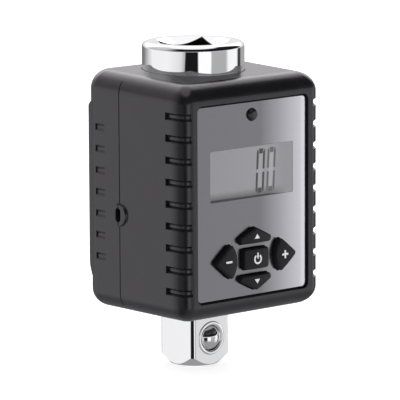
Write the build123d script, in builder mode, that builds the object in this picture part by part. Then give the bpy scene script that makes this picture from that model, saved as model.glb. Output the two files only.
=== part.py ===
from build123d import *

# Digital torque adapter. A steel shaft with a female and a male square drive runs through a
# two-part plastic housing that carries a display, five keys, a buzzer and two cells.
# Millimetres and degrees. The origin is the centre of the flat end of the male drive, +Z runs up the
# drive axis and the display faces -Y.

import os
from math import atan, cos, radians, sin, sqrt, tan

os.makedirs("parts", exist_ok=True)

# Driving dimensions of the square drives
drive_square = 12.7
drive_corner = 0.9
drive_corner_round = 0.8
drive_length = 15.2
drive_tip_radius = 6.1
socket_square = 12.9
socket_corner = 0.6
socket_turn = 10
socket_depth = 16.2
socket_pilot_radius = 3.2
socket_pilot_depth = 2.4
socket_dimple_radius = 3.4
socket_dimple_depth = 0.9
socket_dimple_drop = 8.6

# Driving dimensions of the shaft
collar_radius = 12.85
collar_rise = 7.0
collar_round = 1.4
collar_skirt = 0.9
mouth_radius = 9.5
mouth_angle = 30
mouth_overrun = 0.5
neck_radius = 10.9
neck_height = 14.0
waist_radius = 8.0
waist_height = 18.0
waist_flat = 13.8
journal_radius = 9.2
flange_radius = 12.0
flange_height = 4.6
flange_flat = 21.0
flange_hook = 0.9
flange_block_width = 14.0

# Driving dimensions of the housing
body_width = 45.2
front_reach = 22.5
top_rise = 1.1
front_corner_radius = 3.0
rear_corner_radius = 4.5
edge_round = 4.7
rear_edge_share = 0.6
corner_fade = 0.45
round_steps = 6
shell_wall = 2.2
front_wall = 1.6
cavity_round = 2.4
seam_y = 2.3
seam_gap = 0.3
lip_thickness = 0.9
lip_reach = 1.3
lip_clearance = 0.1
tongue_margin = 2.65
hole_clearance = 0.15
room_clearance = 0.3

# Driving dimensions of the grip grooves
groove_count = 9
groove_low_margin = 7.8
groove_high_margin = 7.51
groove_height = 1.85
groove_floor = 0.7
groove_overrun = 0.3
groove_depth = 0.75
groove_side_reach = 7.2
groove_front_reach = 2.5
rear_groove_depth = 0.35
rear_groove_reach = 8.0

# Driving dimensions of the raised pad on the back
pad_rise = 1.5
pad_side_margin = 1.55
pad_low_margin = 0.8
pad_high_margin = 3.4
pad_low_slope = 4.2
pad_high_slope = 1.6
pad_round = 0.9

# Driving dimensions of the front panel, the display and the lamp
panel_side_margin = 4.55
panel_low_margin = 4.8
panel_high_margin = 5.35
panel_thickness = 0.8
panel_recess = 0.7
panel_gap = 0.35
panel_corner = 1.3
panel_edge = 0.2
window_side_margin = 4.3
window_height = 12.8
window_drop = 23.0
window_corner = 0.4
window_rim = 1.3
window_thickness = 1.0
glass_side = 2.75
glass_rim = 2.4
glass_thickness = 1.8
strip_side = 0.25
strip_height = 1.6
lamp_drop = 8.65
lamp_radius = 1.5
lamp_rise = 0.95
lamp_flange_radius = 1.9
lamp_flange_height = 0.9
lamp_lead = 0.5
lamp_lead_pitch = 1.6
lamp_clearance = 0.15

# Driving dimensions of the keys and their switches
key_level = 14.2
key_gap = 0.25
key_rise = 1.45
key_travel = 0.5
key_flange = 0.38
key_flange_height = 0.8
key_crown_radius = 34.0
key_edge = 0.4
end_key_base = 3.9
end_key_shoulder = 5.2
end_key_peak = 7.8
end_key_base_half = 4.7
end_key_half = 5.4
side_key_tip = 13.9
side_key_bow = 6.1
side_key_back = 8.0
side_key_half = 4.4
power_key_width = 8.9
power_key_height = 5.2
key_corner = 0.75
stem_radius = 1.5
switch_size = 4.5
switch_height = 1.9
plunger_radius = 1.1
plunger_clearance = 0.08
plunger_dip = 1.0
end_key_switch = 5.8
side_key_switch = 9.4

# Driving dimensions of the board and the pieces on it
board_space = 3.8
board_thickness = 1.6
board_side_gap = 1.6
board_low_gap = 3.4
board_high_gap = 1.2
board_corner = 1.0
board_notch_length = 4.6
board_notch_depth = 1.1
board_screw_side_inset = 2.4
board_screw_low_inset = 5.4
board_screw_high_inset = 5.35
board_boss_radius = 2.1
chip_size = 7.0
chip_height = 1.0
chip_drop = 7.85
amplifier_width = 5.0
amplifier_height = 4.0
amplifier_rise = 6.15
crystal_length = 8.0
crystal_width = 3.4
crystal_corner = 1.0
crystal_x = 9.5
capacitor_count = 4
capacitor_pitch = 3.0
capacitor_width = 2.0
capacitor_height = 1.0
plug_width = 7.0
plug_height = 3.0
plug_reach = 1.6
plug_rise = 0.65

# Driving dimensions of the ball detent
ball_radius = 3.375
ball_height = 6.9
ball_protrusion = 1.5
ball_clearance = 0.05
ball_travel = 1.4
lip_opening = 3.25
lip_land = 0.45
lip_cone_radius = 4.2
ball_bore_end = 3.4
spring_wire = 0.25
spring_wire_sides = 6
spring_radius = 2.4
spring_turns = 3
spring_end_gap = 0.1

# Driving dimensions of the cells and their bay
cell_radius = 5.25
cell_length = 44.5
cell_x = 13.5
cell_gap = 0.35
cell_nub_radius = 1.9
cell_nub = 0.8
cell_rim = 0.5
cell_spring_length = 2.8
cell_spring_radius = 3.0
cell_spring_wire = 0.3
cell_spring_turns = 2
contact_thickness = 0.4
contact_width = 5.0
contact_strip = 2.0
contact_strip_offset = 1.5
bay_floor_gap = 0.2
bay_floor_thickness = 1.0
bay_top_space = 1.85
bay_wall = 1.2
divider_offset = 6.2
divider_front = 9.2
tray_front = 3.0
tray_thickness = 1.0
tray_offset = 1.7
contact_block_depth = 6.7
cradle_places = (0.13, 0.46, 0.78)
cradle_thickness = 1.2
cell_clearance = 0.2
cover_low_margin = 1.2
cover_high_margin = 0.3
cover_sink = 0.9
cover_corner = 1.0
cover_ledge = 0.9
cover_gap = 0.15
cover_screw_low_inset = 6.6
cover_screw_high_inset = 7.2
cover_boss_radius = 2.6

# Driving dimensions of the screws
screw_radius = 1.1
screw_head_radius = 2.0
screw_head_height = 1.2
screw_clearance = 0.05
screw_slot = 0.5
screw_slot_depth = 0.5
screw_slot_length = 2.4
shell_screw_rise = 2.1
shell_screw_length = 12.0
shell_screw_sink = 8.0
shell_boss_radius = 2.5
shell_boss_gap = 0.8
shell_boss_reach = 8.0
board_screw_length = 4.6
cover_screw_sink = 4.4

# Driving dimensions of the sound outlet and the buzzer
port_y = 2.2
port_height = 39.8
port_radius = 2.9
port_rise = 0.55
port_taper = 20
port_hole_width = 1.9
port_hole_height = 3.6
buzzer_radius = 4.5
buzzer_thickness = 3.0
buzzer_y = -3.4
buzzer_mouth_radius = 1.1
buzzer_mouth_depth = 1.0
buzzer_lead_radius = 0.3
buzzer_lead_pitch = 3.0

# Driving dimensions of the gauges, their sleeve and cable, and the shaft seals
gauge_thickness = 0.15
gauge_width = 3.0
gauge_height = 6.0
gauge_offset = 2.0
sleeve_thickness = 0.5
sleeve_height = 13.0
cable_width = 5.0
cable_thickness = 0.3
seal_thickness = 1.0
seal_height = 1.1
seal_depth = 0.7

# Places worked out from the sizes above
half_width = body_width / 2
cell_y = sqrt((neck_radius + cell_gap + cell_radius)**2 - cell_x**2)
cover_inside = cell_y + cell_radius + cover_gap
rear_reach = cover_inside + cover_sink
body_bottom = drive_length
floor_top = body_bottom + shell_wall
flange_top = floor_top + flange_height
bay_floor = flange_top + bay_floor_gap
cell_bottom = bay_floor + contact_thickness + cell_spring_length
cell_top = cell_bottom + cell_length
ceiling = cell_top + bay_top_space
top_front = ceiling + shell_wall
body_height = top_front - body_bottom
body_depth = front_reach + rear_reach
top_angle = atan(top_rise / body_depth)
top_on_axis = top_front + front_reach * top_rise / body_depth
collar_top = top_on_axis + collar_rise
collar_bottom = ceiling - collar_skirt
neck_bottom = collar_bottom - neck_height
waist_bottom = neck_bottom - waist_height
waist_middle = waist_bottom + waist_height / 2
drive_half = drive_square / 2
mouth_floor = socket_square / 2 - mouth_overrun
mouth_depth = (mouth_radius - mouth_floor) * tan(radians(mouth_angle))

panel_face = front_reach - panel_recess
recess_floor = panel_face - panel_thickness
wall_inside = recess_floor - front_wall
cavity_half = half_width - shell_wall
cavity_rear = rear_reach - shell_wall
tongue_width = 2 * (collar_radius + tongue_margin)
groove_first = body_bottom + groove_low_margin
groove_pitch = (body_height - groove_low_margin - groove_high_margin) / (groove_count - 1)
groove_heights = [groove_first + groove_pitch * i for i in range(groove_count)]
groove_side_end = front_reach - groove_side_reach
groove_front_end = half_width - groove_front_reach
rear_groove_start = rear_reach - rear_groove_reach
rear_groove_end = rear_reach - rear_corner_radius

panel_width = body_width - 2 * panel_side_margin
panel_height = body_height - panel_low_margin - panel_high_margin
panel_centre = body_bottom + panel_low_margin + panel_height / 2
window_width = panel_width - 2 * window_side_margin
window_centre = top_front - window_drop
glass_width = window_width + 2 * glass_side
glass_height = window_height + 2 * glass_rim
strip_width = window_width + 2 * strip_side
lamp_height = top_front - lamp_drop
key_centre = body_bottom + key_level

board_front = wall_inside - board_space
board_back = board_front - board_thickness
board_width = 2 * (cavity_half - board_side_gap)
board_low = floor_top + board_low_gap
board_high = ceiling - board_high_gap
board_centre = (board_low + board_high) / 2
board_screw_x = board_width / 2 - board_screw_side_inset
board_screw_low = board_low + board_screw_low_inset
board_screw_high = board_high - board_screw_high_inset
board_screw_points = [
    (x, z) for x in (-board_screw_x, board_screw_x) for z in (board_screw_low, board_screw_high)
]
chip_z = waist_middle - chip_drop
amplifier_z = waist_middle + amplifier_rise
plug_z = waist_middle + plug_rise
switch_face = board_front + switch_height
stem_end = switch_face + key_travel + plunger_clearance

ball_centre = drive_half + ball_protrusion - ball_radius
lip_depth = ball_centre + sqrt(ball_radius**2 - lip_opening**2) + ball_clearance / 2
spring_inner = spring_radius - spring_wire
spring_front = ball_centre - sqrt(ball_radius**2 - spring_inner**2) - spring_end_gap
spring_length = spring_front + ball_bore_end - ball_travel - spring_end_gap

cell_points = [(-cell_x, cell_y), (cell_x, cell_y)]
contact_strip_x = cell_x + contact_strip_offset
divider_inner = cell_x - divider_offset
tray_inner = cell_x - tray_offset
contact_block_front = cavity_rear - contact_block_depth
cover_width = 2 * (cell_x + cell_radius)
cover_low = bay_floor + cover_low_margin
cover_high = cell_top + cover_high_margin
cover_centre = (cover_low + cover_high) / 2
cover_height = cover_high - cover_low
pad_width = cover_width + 2 * pad_side_margin
pad_low = cover_low - pad_low_margin
pad_high = cover_high - pad_high_margin
cell_window_low = cover_low + cover_ledge
cell_window_high = cover_high - cover_ledge
cell_window_centre = (cell_window_low + cell_window_high) / 2
cell_window_height = cell_window_high - cell_window_low
cell_window_width = cover_width / 2 - divider_inner - bay_wall
cell_window_x = divider_inner + bay_wall + cell_window_width / 2

flange_block_depth = board_back - flange_flat / 2 + flange_hook - room_clearance
shell_screw_x = flange_radius + shell_boss_gap + shell_boss_radius
shell_screw_z = floor_top + shell_screw_rise
shell_screw_seat = rear_reach - shell_screw_sink
shell_screw_tip = shell_screw_seat - shell_screw_length
shell_screw_points = [(-shell_screw_x, shell_screw_z), (shell_screw_x, shell_screw_z)]
cover_screw_seat = rear_reach + pad_rise - screw_head_height - screw_clearance
cover_screw_tip = rear_reach - cover_screw_sink
cover_screw_points = [(0, cover_low + cover_screw_low_inset), (0, cover_high - cover_screw_high_inset)]


def facing(depth):
    """Plane parallel to the display at -Y depth; x runs to the right and y runs up."""
    return Plane(origin=(0, -depth, 0), x_dir=(1, 0, 0), z_dir=(0, -1, 0))


def backing(depth):
    """Plane parallel to the rear wall at +Y depth, facing +Y; its x runs towards -X."""
    return Plane(origin=(0, depth, 0), x_dir=(-1, 0, 0), z_dir=(0, 1, 0))


def leftward(reach):
    """Plane parallel to the left wall at -X reach, centred on the sound outlet; x runs up."""
    return Plane(origin=(-reach, port_y, port_height), x_dir=(0, 0, 1), z_dir=(-1, 0, 0))


def sloping(drop):
    """Plane of the sloping top face of the housing, lowered by drop."""
    normal = (0, -sin(top_angle), cos(top_angle))
    return Plane(origin=(0, 0, top_on_axis - drop), x_dir=(1, 0, 0), z_dir=normal)


def outline(inset):
    """Housing outline: two small corners in front and two larger ones behind, which draw in less."""
    fade = corner_fade * inset
    rear_inset = rear_edge_share * inset
    with BuildSketch() as plan:
        with Locations((0, inset - front_reach)):
            Rectangle(body_width - 2 * inset, body_depth - inset - rear_inset,
                      align=(Align.CENTER, Align.MIN))
        fillet(plan.vertices().group_by(Axis.Y)[0], front_corner_radius - fade)
        fillet(plan.vertices().group_by(Axis.Y)[-1], rear_corner_radius - fade)
    return plan.sketch


def round_profile():
    """Inset and drop of the rounded top and bottom edges, from the flat face to the wall."""
    angles = [radians(90 * (1 - i / (round_steps - 1))) for i in range(round_steps)]
    return [(edge_round * (1 - cos(a)), edge_round * (1 - sin(a))) for a in reversed(angles)]


def key_outline(name):
    """Outline of one key around the centre of the key group."""
    with BuildSketch() as shape:
        if name == "power":
            RectangleRounded(power_key_width, power_key_height, key_corner)
        elif name in ("upper", "lower"):
            way = 1 if name == "upper" else -1
            with BuildLine():
                Polyline(
                    (-end_key_base_half, way * end_key_base),
                    (end_key_base_half, way * end_key_base),
                    (end_key_half, way * end_key_shoulder),
                    (0, way * end_key_peak),
                    (-end_key_half, way * end_key_shoulder),
                    close=True,
                )
            make_face()
            fillet(shape.vertices(), key_corner)
        else:
            way = 1 if name == "plus" else -1
            with BuildLine():
                ThreePointArc(
                    (way * side_key_back, -side_key_half),
                    (way * side_key_bow, 0),
                    (way * side_key_back, side_key_half),
                )
                Polyline(
                    (way * side_key_back, side_key_half),
                    (way * side_key_tip, 0),
                    (way * side_key_back, -side_key_half),
                )
            make_face()
            fillet(shape.vertices(), key_corner)
    return shape.sketch


key_switch_spots = {
    "power": (0, 0),
    "plus": (side_key_switch, 0),
    "minus": (-side_key_switch, 0),
    "upper": (0, end_key_switch),
    "lower": (0, -end_key_switch),
}


key_outlines = {name: key_outline(name) for name in key_switch_spots}
key_openings = {name: offset(shape, key_gap) for name, shape in key_outlines.items()}
key_flanges = {name: offset(shape, key_flange) for name, shape in key_outlines.items()}

# Outer form of the housing, with the boss of the sound outlet
with BuildPart() as envelope:
    for inset, drop in round_profile():
        with BuildSketch(Plane.XY.offset(body_bottom + drop)):
            add(outline(inset))
    loft()
    for inset, drop in round_profile():
        with BuildSketch(sloping(drop)):
            add(outline(inset))
    loft()
    with BuildSketch(Plane.XY.offset(body_bottom + edge_round)):
        add(outline(0))
    with BuildSketch(sloping(edge_round)):
        add(outline(0))
    loft(ruled=True)
    with BuildSketch(leftward(half_width)):
        Circle(port_radius)
    extrude(amount=port_rise, taper=port_taper)

# Raised pad on the back, sloping off at its upper and lower ends
with BuildPart() as back_pad:
    with BuildSketch(Plane.YZ.offset(-pad_width / 2)):
        with BuildLine():
            Polyline(
                (rear_reach - shell_wall / 2, pad_low),
                (rear_reach, pad_low),
                (rear_reach + pad_rise, pad_low + pad_low_slope),
                (rear_reach + pad_rise, pad_high - pad_high_slope),
                (rear_reach, pad_high),
                (rear_reach - shell_wall / 2, pad_high),
                close=True,
            )
        make_face()
    extrude(amount=pad_width)
    fillet(back_pad.faces().sort_by(Axis.Y)[-1].edges().filter_by(Axis.Z), pad_round)

with BuildPart() as rear_form:
    add(envelope.part)
    add(back_pad.part)

# Grooves round the front corners and beside the rear corners, with flared sides
def groove_core(depth):
    """Housing body narrowed to the groove floor at each groove and full size between them."""
    flare = (groove_height - groove_floor) / 2 / depth
    mouth = groove_height / 2 + groove_overrun * flare
    with BuildPart() as core:
        for height in groove_heights:
            for rise, growth in (
                (-mouth, groove_overrun),
                (-groove_floor / 2, -depth),
                (groove_floor / 2, -depth),
                (mouth, groove_overrun),
            ):
                with BuildSketch(Plane.XY.offset(height + rise)):
                    add(offset(outline(0), growth))
        loft(ruled=True)
    return core.part


front_groove_core = groove_core(groove_depth)
rear_groove_core = groove_core(rear_groove_depth)

with BuildPart() as grooves:
    for side in (-1, 1):
        with Locations(*[(side * groove_front_end, -groove_side_end, z) for z in groove_heights]):
            Box(body_width, body_depth, groove_height,
                align=(Align.MIN if side > 0 else Align.MAX, Align.MAX, Align.CENTER))
    add(front_groove_core, mode=Mode.SUBTRACT)

with BuildPart() as rear_grooves:
    with Locations(*[(0, rear_groove_start, z) for z in groove_heights[1:-1]]):
        Box(2 * body_width, rear_groove_end - rear_groove_start, groove_height,
            align=(Align.CENTER, Align.MIN, Align.CENTER))
    add(rear_groove_core, mode=Mode.SUBTRACT)

# Hollow inside of the housing
with BuildPart() as cavity:
    with BuildSketch(Plane.XY.offset(floor_top)):
        with Locations((0, (cavity_rear - wall_inside) / 2)):
            Rectangle(2 * cavity_half, cavity_rear + wall_inside)
    extrude(amount=ceiling - floor_top)
    fillet(cavity.edges(), cavity_round)

# Torque shaft: socket and collar on top, a measuring waist, a trapped flange and the male drive
with BuildPart() as torque_shaft:
    with BuildSketch() as square:
        Rectangle(drive_square, drive_square)
        chamfer(square.vertices(), drive_corner)
        fillet(square.vertices(), drive_corner_round)
    extrude(amount=drive_length)
    with BuildSketch(Plane.XZ):
        with BuildLine():
            Polyline(
                (drive_tip_radius, 0),
                (drive_square, 0),
                (drive_square, drive_square - drive_tip_radius),
                close=True,
            )
        make_face()
    revolve(axis=Axis.Z, mode=Mode.SUBTRACT)
    with BuildSketch(Plane.XY.offset(drive_length)):
        Circle(journal_radius)
    extrude(amount=waist_bottom - drive_length)
    with BuildSketch(Plane.XY.offset(floor_top)):
        Circle(flange_radius)
        Rectangle(2 * flange_radius, flange_flat, mode=Mode.INTERSECT)
    extrude(amount=flange_height)
    with BuildSketch(Plane.XY.offset(waist_bottom)):
        Circle(waist_radius)
        Rectangle(2 * waist_radius, waist_flat, mode=Mode.INTERSECT)
    extrude(amount=waist_height)
    with BuildSketch(Plane.XY.offset(neck_bottom)):
        Circle(neck_radius)
    extrude(amount=neck_height)
    with BuildSketch(Plane.XY.offset(collar_bottom)):
        Circle(collar_radius)
    extrude(amount=collar_top - collar_bottom)
    fillet(torque_shaft.edges().group_by(Axis.Z)[-1], collar_round)
    with BuildSketch(Plane.XY.offset(collar_top)):
        Circle(mouth_radius)
    with BuildSketch(Plane.XY.offset(collar_top - mouth_depth)):
        Circle(mouth_floor)
    loft(mode=Mode.SUBTRACT)
    with BuildSketch(Plane.XY.offset(collar_top - socket_depth) * Rot(0, 0, socket_turn)):
        RectangleRounded(socket_square, socket_square, socket_corner)
    extrude(amount=socket_depth, mode=Mode.SUBTRACT)
    with BuildSketch(Plane.XY.offset(collar_top - socket_depth - socket_pilot_depth)):
        Circle(socket_pilot_radius)
    extrude(amount=socket_pilot_depth, mode=Mode.SUBTRACT)
    for turn in range(4):
        spot = Plane.XY.offset(collar_top - socket_dimple_drop) * Rot(0, 0, socket_turn + 90 * turn)
        with Locations(Location(spot) * Pos(socket_square / 2 + socket_dimple_depth, 0, 0) * Rot(0, -90, 0)):
            Cylinder(socket_dimple_radius, socket_dimple_depth,
                     align=(Align.CENTER, Align.CENTER, Align.MIN), mode=Mode.SUBTRACT)
    for low in (ceiling + seal_depth, body_bottom + (shell_wall - seal_height) / 2):
        outer = collar_radius if low > neck_bottom else journal_radius
        with BuildSketch(Plane.XY.offset(low)):
            Circle(outer)
            Circle(outer + hole_clearance - seal_thickness, mode=Mode.SUBTRACT)
        extrude(amount=seal_height, mode=Mode.SUBTRACT)
    with BuildSketch(Plane(origin=(0, ball_bore_end, ball_height), x_dir=(1, 0, 0), z_dir=(0, -1, 0))):
        Circle(ball_radius + ball_clearance)
    extrude(amount=ball_bore_end + lip_depth, mode=Mode.SUBTRACT)
    with BuildSketch(facing(lip_depth)):
        with Locations((0, ball_height)):
            Circle(lip_opening)
    extrude(amount=drive_half, mode=Mode.SUBTRACT)
    with BuildSketch(facing(lip_depth + lip_land)):
        with Locations((0, ball_height)):
            Circle(lip_opening)
    with BuildSketch(facing(drive_half)):
        with Locations((0, ball_height)):
            Circle(lip_cone_radius)
    loft(mode=Mode.SUBTRACT)
torque_shaft.part.label = "torque_shaft"
export_step(torque_shaft.part, "parts/torque_shaft.step")

# Room kept free round the shaft inside the housing
with BuildPart() as shaft_room:
    with BuildSketch(Plane.XY.offset(floor_top)):
        Circle(flange_radius + room_clearance)
    extrude(amount=flange_height + room_clearance)
    with BuildSketch(Plane.XY.offset(floor_top)):
        Circle(journal_radius + room_clearance)
    extrude(amount=neck_bottom - floor_top)
    with BuildSketch(Plane.XY.offset(neck_bottom)):
        Circle(neck_radius + room_clearance)
    extrude(amount=ceiling - neck_bottom)
    with BuildSketch(Plane.XY.offset(collar_bottom - room_clearance)):
        Circle(collar_radius + room_clearance)
    extrude(amount=collar_skirt + room_clearance)

# Round holes for the shaft in the floor and the ceiling
with BuildPart() as shaft_holes:
    with BuildSketch(Plane.XY.offset(body_bottom - shell_wall)):
        Circle(journal_radius + hole_clearance)
    extrude(amount=3 * shell_wall)
    with BuildSketch(Plane.XY.offset(ceiling - shell_wall)):
        Circle(collar_radius + hole_clearance)
    extrude(amount=4 * shell_wall)

# Flange as the shells hold it, without the play
with BuildPart() as flange_seat:
    with BuildSketch(Plane.XY.offset(floor_top)):
        Circle(flange_radius + room_clearance)
        Rectangle(3 * flange_radius, flange_flat, mode=Mode.INTERSECT)
    extrude(amount=flange_height)

# Rear half of the housing as a plain block, with the tongues that close round the shaft
with BuildPart() as rear_zone:
    with Locations((0, seam_y, 0)):
        Box(2 * body_width, body_depth, 3 * body_height,
            align=(Align.CENTER, Align.MIN, Align.CENTER))
    Box(tongue_width, body_depth, 3 * body_height, align=(Align.CENTER, Align.MIN, Align.CENTER))

# Lip of the rear shell that reaches into the front shell on both sides
with BuildPart() as lip_ring:
    with BuildSketch(backing(seam_y - lip_reach)):
        with Locations((0, (floor_top + ceiling) / 2)):
            RectangleRounded(2 * (cavity_half + lip_thickness),
                             ceiling - floor_top + 2 * lip_thickness,
                             cavity_round + lip_thickness)
            RectangleRounded(2 * cavity_half, ceiling - floor_top, cavity_round, mode=Mode.SUBTRACT)
            Rectangle(tongue_width + 2 * lip_thickness, 2 * body_height, mode=Mode.SUBTRACT)
    extrude(amount=lip_reach)

with BuildPart() as lip_seat:
    with BuildSketch(backing(seam_y - lip_reach)):
        with Locations((0, (floor_top + ceiling) / 2)):
            RectangleRounded(2 * (cavity_half + lip_thickness + lip_clearance),
                             ceiling - floor_top + 2 * (lip_thickness + lip_clearance),
                             cavity_round + lip_thickness + lip_clearance)
            Rectangle(tongue_width, 2 * body_height, mode=Mode.SUBTRACT)
    extrude(amount=lip_reach)

# Opening of the sound outlet through the side wall
with BuildPart() as port_hole:
    with BuildSketch(leftward(cavity_half - shell_wall / 2)):
        SlotOverall(port_hole_height, port_hole_width)
    extrude(amount=2 * shell_wall)

# Front shell: frame, panel seat, window and key openings, board bosses and screw bosses
with BuildPart() as front_shell:
    add(envelope.part)
    add(cavity.part, mode=Mode.SUBTRACT)
    with BuildSketch(facing(board_front)):
        for x, z in board_screw_points:
            with Locations((x, z)):
                Circle(board_boss_radius)
    extrude(amount=wall_inside - board_front)
    with BuildSketch(backing(seam_y - shell_boss_reach)):
        with Locations(*shell_screw_points):
            Circle(shell_boss_radius)
    extrude(amount=shell_boss_reach)
    with BuildSketch(Plane.XY.offset(floor_top)):
        with Locations((0, flange_hook - flange_flat / 2)):
            Rectangle(flange_block_width, flange_block_depth, align=(Align.CENTER, Align.MAX))
    extrude(amount=flange_height + shell_wall)
    add(flange_seat.part, mode=Mode.SUBTRACT)
    add(grooves.part, mode=Mode.SUBTRACT)
    add(rear_zone.part, mode=Mode.SUBTRACT)
    add(lip_seat.part, mode=Mode.SUBTRACT)
    add(shaft_holes.part, mode=Mode.SUBTRACT)
    add(port_hole.part, mode=Mode.SUBTRACT)
    with BuildSketch(backing(seam_y - seam_gap)):
        with Locations((0, board_centre)):
            Rectangle(2 * body_width, 2 * body_height)
            Rectangle(2 * (cavity_half + lip_thickness), 3 * body_height, mode=Mode.SUBTRACT)
    extrude(amount=seam_gap, mode=Mode.SUBTRACT)
    with BuildSketch(facing(recess_floor)):
        with Locations((0, panel_centre)):
            RectangleRounded(panel_width + 2 * panel_gap, panel_height + 2 * panel_gap,
                             panel_corner + panel_gap)
    extrude(amount=panel_thickness + 2 * panel_recess, mode=Mode.SUBTRACT)
    with BuildSketch(facing(recess_floor - window_thickness)):
        with Locations((0, window_centre)):
            Rectangle(window_width + 2 * window_rim, window_height + 2 * window_rim)
    extrude(amount=window_thickness, mode=Mode.SUBTRACT)
    with BuildSketch(facing(wall_inside - front_wall)):
        with Locations((0, window_centre)):
            Rectangle(window_width, window_height)
        with Locations((0, lamp_height)):
            Circle(lamp_radius + lamp_clearance)
        with Locations((0, key_centre)):
            for opening in key_openings.values():
                add(opening)
    extrude(amount=2 * front_wall, mode=Mode.SUBTRACT)
    with BuildSketch(facing(board_front)):
        for x, z in board_screw_points:
            with Locations((x, z)):
                Circle(screw_radius)
    extrude(amount=board_screw_length - board_thickness + screw_clearance, mode=Mode.SUBTRACT)
    with BuildSketch(backing(shell_screw_tip)):
        with Locations(*shell_screw_points):
            Circle(screw_radius)
    extrude(amount=shell_screw_length, mode=Mode.SUBTRACT)
front_shell.part.label = "front_shell"
export_step(front_shell.part, "parts/front_shell.step")

# Rear shell: lip, cell bay with tray walls, cradle ribs and web, screw wells and cover seat
with BuildPart() as rear_shell:
    add(rear_form.part)
    add(cavity.part, mode=Mode.SUBTRACT)
    with BuildSketch(Plane.XY.offset(floor_top)):
        for side in (-1, 1):
            with Locations((side * (divider_inner + bay_wall / 2), divider_front)):
                Rectangle(bay_wall, cavity_rear - divider_front, align=(Align.CENTER, Align.MIN))
            with Locations((side * (tray_inner + cavity_half) / 2, tray_front)):
                Rectangle(cavity_half - tray_inner, tray_thickness, align=(Align.CENTER, Align.MIN))
    extrude(amount=ceiling - floor_top)
    with BuildSketch(Plane.XY.offset(bay_floor - bay_floor_thickness)):
        for side in (-1, 1):
            with Locations((side * (divider_inner + cavity_half) / 2, tray_front)):
                Rectangle(cavity_half - divider_inner, cavity_rear - tray_front,
                          align=(Align.CENTER, Align.MIN))
    extrude(amount=bay_floor_thickness)
    for place in cradle_places:
        with BuildSketch(Plane.XY.offset(cell_bottom + place * cell_length)):
            for side in (-1, 1):
                with Locations((side * (cell_x + cavity_half) / 2, tray_front)):
                    Rectangle(cavity_half - cell_x, cell_y - tray_front, align=(Align.CENTER, Align.MIN))
        extrude(amount=cradle_thickness)
    with BuildSketch(Plane.XY.offset(cell_top + contact_thickness)):
        for side in (-1, 1):
            with Locations((side * (tray_inner + cavity_half) / 2, contact_block_front)):
                Rectangle(cavity_half - tray_inner, contact_block_depth, align=(Align.CENTER, Align.MIN))
    extrude(amount=ceiling - cell_top - contact_thickness)
    with Locations((-shell_screw_x, seam_y, bay_floor), (shell_screw_x, seam_y, bay_floor)):
        Box(2 * shell_boss_radius, cavity_rear - seam_y + bay_wall, bay_floor - floor_top + bay_wall,
            align=(Align.CENTER, Align.MIN, Align.MAX))
    with BuildSketch(backing(cover_screw_tip - screw_clearance)):
        with Locations(*cover_screw_points):
            Circle(cover_boss_radius)
    extrude(amount=cavity_rear - cover_screw_tip + bay_wall)
    add(shaft_room.part, mode=Mode.SUBTRACT)
    with BuildSketch(Plane.XY.offset(floor_top)):
        with Locations((0, flange_flat / 2 - flange_hook)):
            Rectangle(flange_block_width, cavity_rear - flange_flat / 2 + flange_hook,
                      align=(Align.CENTER, Align.MIN))
    extrude(amount=flange_height + shell_wall)
    add(flange_seat.part, mode=Mode.SUBTRACT)
    with BuildSketch(Plane.XY.offset(bay_floor)):
        with Locations(*cell_points):
            Circle(cell_radius + cell_clearance)
    extrude(amount=cell_top - bay_floor, mode=Mode.SUBTRACT)
    for low in (bay_floor, cell_top):
        with BuildSketch(Plane.XY.offset(low)):
            for side in (-1, 1):
                with Locations((side * contact_strip_x, tray_front + tray_thickness / 2)):
                    Rectangle(contact_strip + 2 * cover_gap, 3 * tray_thickness)
        extrude(amount=contact_thickness, mode=Mode.SUBTRACT)
    with BuildSketch(backing(cavity_rear - bay_wall)):
        with Locations((-cell_window_x, cell_window_centre), (cell_window_x, cell_window_centre)):
            Rectangle(cell_window_width, cell_window_height)
    extrude(amount=2 * shell_wall, mode=Mode.SUBTRACT)
    with BuildSketch(backing(cover_inside)):
        with Locations((0, cover_centre)):
            RectangleRounded(cover_width + 2 * cover_gap, cover_height + 2 * cover_gap, cover_corner)
    extrude(amount=2 * shell_wall, mode=Mode.SUBTRACT)
    with BuildSketch(backing(cover_screw_tip - 2 * screw_clearance)):
        with Locations(*cover_screw_points):
            Circle(screw_radius + screw_clearance)
    extrude(amount=cover_inside, mode=Mode.SUBTRACT)
    add(rear_grooves.part, mode=Mode.SUBTRACT)
    with BuildSketch(Plane.XY.offset(-body_height)):
        with Locations((0, seam_y)):
            Rectangle(2 * body_width, 2 * body_depth, align=(Align.CENTER, Align.MAX))
        with Locations((0, 0)):
            Rectangle(tongue_width - 2 * lip_clearance, body_depth, align=(Align.CENTER, Align.MIN),
                      mode=Mode.SUBTRACT)
    extrude(amount=4 * body_height, mode=Mode.SUBTRACT)
    add(lip_ring.part)
    add(shaft_holes.part, mode=Mode.SUBTRACT)
    add(port_hole.part, mode=Mode.SUBTRACT)
    with BuildSketch(backing(-body_depth)):
        with Locations(*shell_screw_points):
            Circle(screw_radius + screw_clearance)
    extrude(amount=3 * body_depth, mode=Mode.SUBTRACT)
    with BuildSketch(backing(shell_screw_seat)):
        with Locations(*shell_screw_points):
            Circle(screw_head_radius + screw_clearance)
    extrude(amount=body_depth, mode=Mode.SUBTRACT)
rear_shell.part.label = "rear_shell"
export_step(rear_shell.part, "parts/rear_shell.step")

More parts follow.
